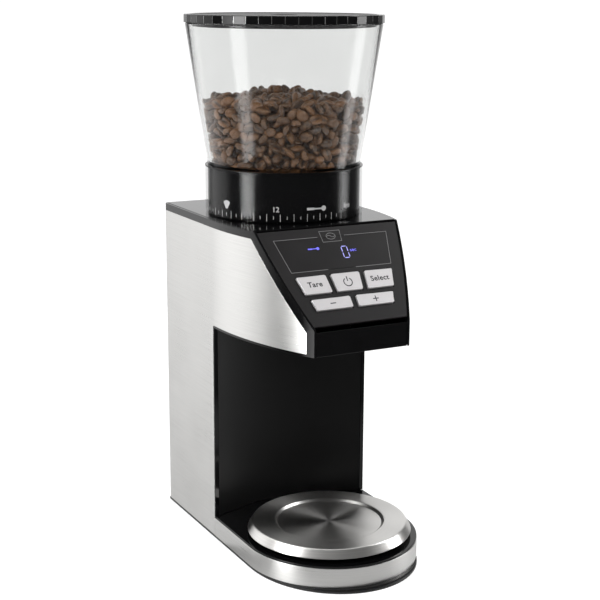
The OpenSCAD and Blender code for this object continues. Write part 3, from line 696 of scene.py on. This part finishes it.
def build_weighing_plate():
    lo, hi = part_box("weighing_plate")
    r, top, low = (hi.x - lo.x) / 2 / MM, hi.z / MM, lo.z / MM
    obj = add_piece("weighing_plate_turned", "plate", LOOKS["steel_plate"], ("weighing_plate",))
    dish = top - 1.6
    profile = rounded_profile([
        (0, dish), (38.4, dish, 0.5), (40.3, top - 0.15, 0.5), (41.2, top, 0.4), (r - 4.1, top, 1.8),
        (r, low, 0.5), (r - 1.2, low, 0.4), (r - 5.0, top - 1.6, 1.0), (41.1, top - 1.2), (39, dish - 1.2),
        (0, dish - 1.2),
    ])
    weighted(lathe(obj, profile, (0, PLATE_CENTRE.y), 256, 50))


# ---------- hopper ----------

def hopper_inner_radius(z_mm):
    """Inner radius of the hopper at a height, in millimetres."""
    if z_mm < 284:
        return 15.6 + (z_mm - 251.6) * 38.4 / 32.4
    return 54 + (z_mm - 284) * 15.6 / 100


def build_hopper():
    lo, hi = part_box("bean_hopper")
    rim, foot = hi.z / MM, lo.z / MM
    obj = add_piece("hopper_clear", "hopper", LOOKS["clear_plastic"], ("bean_hopper",))
    profile = rounded_profile([
        (16, foot), (18.5, foot), (18.5, 249.6, 2), (53.2, 279.6, 1), (53.8, 281.7), (56.4, 281.7, 0.5),
        (72.1, rim, 0.9), (69.6, rim, 0.9), (54, 284, 3), (16, 251.6, 3),
    ])
    lathe(obj, profile, AXIS, FINE, 40)
    obj.visible_shadow = False


def build_collar():
    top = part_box("hopper_collar")[1].z / MM
    obj = add_piece("hopper_collar_turned", "hopper", COLLAR_BLACK, ("hopper_collar",))
    profile = rounded_profile([
        (40, 240.6), (46, 240.6, 0.4), (46, 246.3), (56.3, 246.3, 0.4), (56.3, top - 0.8), (58.5, top - 0.8),
        (58.5, top, 0.35), (54, top, 0.3), (54, 248.3), (40, 248.3),
    ], 3)
    weighted(lathe(obj, profile, AXIS))
    sleeve = add_piece("scale_sleeve_clear", "hopper", LOOKS["smoke_plastic"], ("scale_sleeve",))
    lathe(sleeve, rounded_profile([
        (56.45, SLEEVE_LO.z / MM), (58.5, SLEEVE_LO.z / MM, 0.6), (58.5, SLEEVE_HI.z / MM, 0.5),
        (56.45, SLEEVE_HI.z / MM)], 4), AXIS, FINE, 40)
    sleeve.visible_shadow = False


def add_cone_filter(bm, at, size):
    """A paper cone filter: a fan with a rounded top edge and a narrow foot."""
    add_slab(bm, [(at[0] - 0.14 * size, at[1] - 0.5 * size), (at[0] + 0.14 * size, at[1] - 0.5 * size),
                  *arc((at[0], at[1] - 0.3 * size), size * 0.72, 42, 138, 12)], -0.01, 0.01)


def build_scale():
    """Ticks, numbers and signs printed round the collar, under the clear sleeve."""
    obj = add_piece("grind_scale", "hopper", WHITE_INK)
    bm = bmesh.new()
    radius, pitch, first, count = 56.36, 4.95, 20.2, 39
    per_deg = radius * math.pi / 180
    for i in range(count):
        x = (first - pitch * i) * per_deg
        height = 5.2 if i % 2 == 0 else 2.2
        add_stroke(bm, [(x, 249.7 - height / 2), (x, 249.7 + height / 2)], 0.42)
    add_text(bm, "12", 5.2, (-32.6 * per_deg, 255.5), bold=0.07)
    add_text(bm, "fine", 5.0, (27.0 * per_deg, 255.7), bold=0.07)
    add_text(bm, "coarse", 5.0, (-175 * per_deg, 255.7), bold=0.07)
    add_portafilter(bm, (-2.5 * per_deg, 255.8), 14.5)
    add_cone_filter(bm, (-73.5 * per_deg, 257.0), 6.4)
    bmesh.ops.subdivide_edges(bm, edges=[e for e in bm.edges if e.calc_length() > 1.5], cuts=4)
    wrap(bm, AXIS, radius)
    fill(obj, bm)


def build_lid():
    lo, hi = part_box("hopper_lid")
    low, top, r = hi.z / MM - 5.8, hi.z / MM, (hi.x - lo.x) / 2 / MM
    obj = add_piece("hopper_lid_ribbed", "lid", LOOKS["black_gloss"], ("hopper_lid",))
    bm = bmesh.new()
    facets = 50
    groove = 0.5
    first = math.radians(2.6) - math.pi / 2
    outline = []
    for i in range(facets):
        for part, radius in ((0.0, r - groove), (0.045, r), (0.955, r)):
            a = math.tau * (i + part) / facets + first
            if part:
                flat = math.cos(math.pi / facets) / math.cos(math.tau * (part - 0.5) / facets)
                radius = r * min(1.0, flat * 1.001)
            outline.append((radius * math.cos(a), radius * math.sin(a)))
    bottom = [bm.verts.new((x, y, low)) for x, y in outline]
    rim = [bm.verts.new((x, y, top - 0.5)) for x, y in outline]
    chamfer = [bm.verts.new((x * (1 - 0.5 / r), y * (1 - 0.5 / r), top)) for x, y in outline]
    count = len(outline)

    def ring(radius, z):
        return [bm.verts.new((radius * math.cos(math.atan2(y, x)), radius * math.sin(math.atan2(y, x)), z))
                for x, y in outline]

    loops = [bottom, rim, chamfer, ring(r - 2.6, top), ring(r - 3.4, top - 0.25), ring(r - 3.9, top - 0.6)]
    under = [ring(r - 3.6, low), ring(66.8, low), ring(66.8, 381), ring(64.5, 381), ring(64.5, top - 2.4),
             ring(4, top - 2.4)]
    for path in (loops, [bottom, *under]):
        for a, b in zip(path, path[1:]):
            for i in range(count):
                j = (i + 1) % count
                bm.faces.new((a[i], a[j], b[j], b[i]))
    bm.faces.new(under[-1])
    place(bm, Matrix.Translation((*AXIS, 0)))
    weighted(fill(obj, bm, 24))
    cap = add_piece("lid_top_skin", "lid", LID_TOP)
    lathe(cap, [(r - 3.9, top - 2.4), (r - 3.9, top - 0.6), (20, top - 0.6), (0, top - 0.6)], AXIS, 160, 40)
    # Thin grey metal ribs on every facet edge: a painted highlight of the light the lid's edges catch.
    lines = add_piece("lid_painted_rib_highlights", "lid", PAINTED_RIB_HIGHLIGHT)
    bm = bmesh.new()
    for i in range(facets):
        a = math.tau * i / facets + first
        side = Vector((-math.sin(a), math.cos(a))) * 0.2
        at = Vector((math.cos(a), math.sin(a))) * (r - 0.35)
        out = Vector((math.cos(a), math.sin(a))) * 0.25
        ridge = [at - side, at - side * 0.6 + out, at + side * 0.6 + out, at + side]
        add_slab(bm, ridge, low + 0.3, top - 0.6)
    place(bm, Matrix.Translation((*AXIS, 0)))
    fill(lines, bm)
    seal = add_piece("lid_seal_ring", "lid", LOOKS["rubber_dark"], ("lid_seal",))
    s_lo, s_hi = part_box("lid_seal")
    z0, z1 = s_lo.z / MM, s_hi.z / MM
    lathe(seal, rounded_profile([
        (66.85, z0), (67.9, z0, 0.3), (68.2, z0 + 0.6, 0.2), (67.8, z0 + 1.2), (68.2, z0 + 1.8, 0.2),
        (67.9, z1, 0.3), (66.85, z1)], 3), AXIS, 160, 40)


# ---------- beans ----------

def bean_mesh():
    """One coffee bean in millimetres: a domed back, a flat front and an S-shaped crease, with how deep each
    point lies in the crease, for the painted shade there.
    """
    around, along = 16, 9
    verts, grooves = [(-5.1, 0, -0.3)], [0.0]
    for i in range(1, along):
        u = math.pi * i / along
        for k in range(around):
            a = math.tau * k / around
            x = -5.1 * math.cos(u)
            y = 3.75 * math.sin(u) ** 0.85 * math.cos(a)
            z = 3.1 * math.sin(u) ** 0.85 * math.sin(a)
            depth = 0.0
            if z < 0:
                z *= 0.62
                depth = math.exp(-((y - 0.35 * math.sin(x * 0.55)) / 0.75) ** 2) * math.sin(u)
                z += 1.45 * depth
            verts.append((x, y, z))
            grooves.append(depth)
    verts.append((5.1, 0, -0.3))
    grooves.append(0.0)
    faces = []
    for k in range(around):
        j = (k + 1) % around
        faces.append((0, 1 + j, 1 + k))
        for i in range(along - 2):
            a, b = 1 + i * around, 1 + (i + 1) * around
            faces.append((a + k, a + j, b + j, b + k))
        end = 1 + (along - 2) * around
        faces.append((end + k, end + j, len(verts) - 1))
    return np.array(verts), faces, grooves


def pile_top(x, y):
    """Height of the heap of beans above a point, in millimetres."""
    r = math.hypot(x, y)
    return 334.5 - 6.5 * (r / 60) ** 2 + 1.8 * math.sin(x * 0.11 + 1.0) + 1.4 * math.sin(y * 0.13 + x * 0.05)


def settle_beans(rng, count=1150, spacing=7.1, rounds=70):
    """Centres of the beans that can be seen: a skin of the heap, spread evenly by pushing apart."""
    depth, wall_gap, top_gap = 15.0, 4.0, 3.4
    lowest, highest, widest = 279, 336, 66

    def inside(p):
        r = math.hypot(p[0], p[1])
        reach = hopper_inner_radius(p[2]) - wall_gap
        top = pile_top(p[0], p[1]) - top_gap
        return r <= reach and p[2] <= top and (r > reach - depth or p[2] > top - depth)

    points = []
    while len(points) < count:
        p = (rng.uniform(-widest, widest), rng.uniform(-widest, widest), rng.uniform(lowest, highest))
        if inside(p):
            points.append(p)
    pts = np.array(points)
    for _ in range(rounds):
        diff = pts[:, None, :] - pts[None, :, :]
        dist = np.sqrt((diff ** 2).sum(2)) + np.eye(count) * 1e3
        push = np.clip(spacing - dist, 0, None) / dist
        pts += 0.3 * (diff * push[:, :, None]).sum(1)
        for i, (x, y, z) in enumerate(pts):
            z = min(max(z, lowest), pile_top(x, y) - top_gap)
            r = math.hypot(x, y)
            reach = hopper_inner_radius(z) - wall_gap
            if r > reach:
                x, y = x * reach / r, y * reach / r
            pts[i] = (x, y, z)
    return pts


def build_beans():
    """The coffee beans in the hopper: contents, not a part of the grinder."""
    rng = random.Random(7)
    shape, faces, grooves = bean_mesh()
    centres = settle_beans(rng)
    verts, quads = [], []
    for x, y, z in centres:
        spin = Matrix.Rotation(rng.uniform(0, math.tau), 3, "X")
        lean = Matrix.Rotation(rng.gauss(0, 0.5), 3, "Y")
        turn = Matrix.Rotation(rng.uniform(0, math.tau), 3, "Z")
        size = rng.uniform(0.86, 1.1)
        rot = np.array(turn @ lean @ spin) * size
        base = len(verts)
        for px, py, pz in shape @ rot.T + (x, y, z):
            r = math.hypot(px, py)
            reach = hopper_inner_radius(pz) - 0.6
            if r > reach:
                px, py = px * reach / r, py * reach / r
            verts.append((AXIS[0] + px * MM, AXIS[1] + py * MM, pz * MM))
        quads.extend(tuple(base + i for i in face) for face in faces)
    obj = add_piece("coffee_beans", "hopper", BEAN)
    obj.data.from_pydata(verts, [], quads)
    obj.data.shade_smooth()
    # Depth in the crease at each point, which the bean material paints as shade.
    crease = obj.data.attributes.new("crease", "FLOAT", "POINT")
    crease.data.foreach_set("value", grooves * len(centres))
    core = add_piece("coffee_beans_core", "hopper", BEAN)
    lathe(core, [(0, 320), (20, 319.5), (38, 316), (44, 312), (42, 292), (38, 276), (24, 264), (17, 256),
                 (0, 255)], AXIS, 48, 60)


# ---------- everything else ----------

def dress_cad_nodes():
    """Gives each CAD node that still shows its slot's material."""
    for name, obj in frame["nodes"].items():
        obj.data.materials.clear()
        obj.data.materials.append(LOOKS[SLOT_OF[name]])


# name, bearing round the grinder in degrees, half width, strength
SOFT_BOXES = (("soft_left", 100, 0.22, 13.0), ("soft_right", 250, 0.2, 6.5))
SOFT_BOX_REACH, SOFT_BOX_LOW, SOFT_BOX_HIGH = 0.9, -0.17, 0.41
SOFT_BOX_CORE = 0.3  # part of the half width that is fully bright
# name, place, size, power, whether it is reflected
FILLS = (("fill_left", (-1.3, 0.1, 1.25), (1.0, 0.9), 13, True),
         ("fill_right", (1.3, -0.2, 1.2), (0.8, 0.9), 11, True),
         ("fill_front", (-0.3, -1.5, 1.3), (1.2, 1.0), 14, False))
FILL_TARGET = (0, 0, 0.2)
FLOOR_REACH, FLOOR_GLOW = 200, 0.68
SHEEN_CENTRE = (0.05, -0.14, -0.0005)
SHEEN_GLOW, SHEEN_EDGE_GLOW = 0.6, 0.1
SHEEN_CORE, SHEEN_RADIUS = 0.12, 0.19
UNLIT = (0.02, 0.02, 0.02)


def add_flat(name, corners):
    """A studio object with a single flat face."""
    mesh = bpy.data.meshes.new(name)
    mesh.from_pydata(corners, [], [tuple(range(len(corners)))])
    flat = bpy.data.objects.new(name, mesh)
    bpy.context.scene.collection.objects.link(flat)
    return flat


def add_soft_box(name, bearing, half, strength):
    """An upright lit card facing the grinder, bright down its middle and fading out to its edges."""
    a = math.radians(bearing)
    toward = Vector((-math.sin(a), math.cos(a), 0))
    side = Vector((toward.y, -toward.x, 0)) * half
    corners = [(-side, SOFT_BOX_LOW), (side, SOFT_BOX_LOW), (side, SOFT_BOX_HIGH), (-side, SOFT_BOX_HIGH)]
    card = add_flat(name, [(c.x, c.y, z) for c, z in corners])
    card.location = Vector((*AXIS, 0)) + toward * SOFT_BOX_REACH
    lit = Surface(name + "_cloth", Roughness=0.8)
    lit.colour(UNLIT)
    across = lit.add("ShaderNodeVectorMath", operation="DOT_PRODUCT")
    across.inputs[1].default_value = side.normalized()
    lit.put(across.inputs[0], lit.coords)
    fade = lit.add("ShaderNodeMapRange", interpolation_type="SMOOTHSTEP")
    set_range(fade, half, half * SOFT_BOX_CORE, 0.0, strength)
    lit.put(fade.inputs["Value"], lit.math("ABSOLUTE", across.outputs["Value"]))
    lit.glow(fade.outputs[0])
    card.data.materials.append(lit.mat)
    card.visible_camera = False
    card.visible_shadow = False
    card.visible_transmission = False


def add_fill(name, place_at, size, power, mirrored):
    """A wide soft light, with or without a reflection."""
    data = bpy.data.lights.new(name, "AREA")
    data.shape = "RECTANGLE"
    data.size, data.size_y = size
    data.energy = power
    lamp = bpy.data.objects.new(name, data)
    bpy.context.scene.collection.objects.link(lamp)
    lamp.location = place_at
    lamp.rotation_euler = (Vector(FILL_TARGET) - Vector(place_at)).to_track_quat("-Z", "Y").to_euler()
    lamp.visible_glossy = mirrored


def add_floor():
    """A plain pale floor that reflections don't show."""
    n = FLOOR_REACH
    floor = add_flat("floor", [(-n, -n, 0), (n, -n, 0), (n, n, 0), (-n, n, 0)])
    pale = Surface("pale_floor", Roughness=0.6)
    pale.colour(pale.blend(pale.span(pale.noise(900, 2), 0, 1), (0.41, 0.41, 0.41), (0.43, 0.43, 0.43)))
    pale.glow(FLOOR_GLOW)
    floor.data.materials.append(pale.mat)
    floor.visible_glossy = False


def add_sheen():
    """The lit floor in front, as reflections show it: a soft round patch that only they can see."""
    turns = [math.tau * i / 64 for i in range(64)]
    sheen = add_flat("floor_sheen", [(SHEEN_RADIUS * math.cos(t), SHEEN_RADIUS * math.sin(t), 0) for t in turns])
    sheen.location = SHEEN_CENTRE
    lit = Surface("floor_sheen", Roughness=0.6)
    lit.colour(UNLIT)
    far = lit.add("ShaderNodeVectorMath", operation="LENGTH")
    lit.put(far.inputs[0], lit.coords)
    lit.glow(lit.span(far.outputs["Value"], SHEEN_GLOW, SHEEN_EDGE_GLOW, SHEEN_CORE, SHEEN_RADIUS))
    sheen.data.materials.append(lit.mat)
    sheen.visible_camera = False
    sheen.visible_diffuse = False


def build_studio():
    """The floor, the fill lights, the soft boxes on both sides and the sheen of the floor in front."""
    add_floor()
    for entry in FILLS:
        add_fill(*entry)
    for entry in SOFT_BOXES:
        add_soft_box(*entry)
    add_sheen()
    bpy.context.scene.view_settings.view_transform = "Standard"


FRONT_GLOW, BACK_GLOW = 0.14, 0.36
# direction, cosine where it starts, cosine where it is full, strength
GLOWS = (((-0.643, 0.766, 0.0), 0.85, 0.98, 1.4), ((0.5, 0.866, 0.0), 0.78, 0.96, 0.95),
         ((-0.2, 0.3, 0.93), 0.6, 0.92, 1.7))


def build_surround():
    """Light from overhead and behind, and a dim front."""
    world = bpy.data.worlds.new("surround")
    bpy.context.scene.world = world
    world.use_nodes = True
    tree = world.node_tree
    tree.nodes.clear()
    out = tree.nodes.new("ShaderNodeOutputWorld")
    background = tree.nodes.new("ShaderNodeBackground")
    look = tree.nodes.new("ShaderNodeTexCoord").outputs["Generated"]

    def cosine(toward):
        """How far the looked-at direction leans toward a given one."""
        node = tree.nodes.new("ShaderNodeVectorMath")
        node.operation = "DOT_PRODUCT"
        tree.links.new(look, node.inputs[0])
        node.inputs[1].default_value = toward
        return node.outputs["Value"]

    def ramp(value, start, end, low, high):
        node = tree.nodes.new("ShaderNodeMapRange")
        node.interpolation_type = "SMOOTHSTEP"
        set_range(node, start, end, low, high)
        tree.links.new(value, node.inputs["Value"])
        return node.outputs[0]

    def added(first, second):
        node = tree.nodes.new("ShaderNodeMath")
        node.operation = "ADD"
        tree.links.new(first, node.inputs[0])
        tree.links.new(second, node.inputs[1])
        return node.outputs[0]

    total = ramp(cosine((0.0, 1.0, 0.0)), 0.1, 0.8, FRONT_GLOW, BACK_GLOW)
    for toward, start, end, strength in GLOWS:
        total = added(total, ramp(cosine(toward), start, end, 0.0, strength))
    tree.links.new(total, background.inputs["Strength"])
    tree.links.new(background.outputs[0], out.inputs[0])


CAMERA_AT = (-0.45119, -0.86449, 0.40855)
CAMERA_TOWARD = (0.44939, 0.86462, -0.22470)
CAMERA_ROLL_DEG = 0.28
CAMERA_LENS_MM, CAMERA_SENSOR_MM = 81.28, 36.0
CAMERA_CLIP = 500


def build_camera():
    data = bpy.data.cameras.new("camera")
    data.sensor_width = CAMERA_SENSOR_MM
    data.lens = CAMERA_LENS_MM
    data.clip_end = CAMERA_CLIP
    cam = bpy.data.objects.new("camera", data)
    bpy.context.scene.collection.objects.link(cam)
    forward = Vector(CAMERA_TOWARD).normalized()
    right = forward.cross(Vector((0, 0, 1))).normalized()
    up = right.cross(forward)
    roll = math.radians(CAMERA_ROLL_DEG)
    right, up = right * math.cos(roll) + up * math.sin(roll), up * math.cos(roll) - right * math.sin(roll)
    basis = Matrix((right, up, -forward)).transposed().to_4x4()
    cam.matrix_world = Matrix.Translation(CAMERA_AT) @ basis
    bpy.context.scene.camera = cam


build_camera()
build_studio()
build_surround()
dress_cad_nodes()
build_housing()
for key_node in ("button_tare", "button_power", "button_select", "button_minus", "button_plus"):
    build_key(key_node)
build_panel_print()
build_display()
build_weighing_plate()
build_hopper()
build_collar()
build_scale()
build_lid()
build_beans()
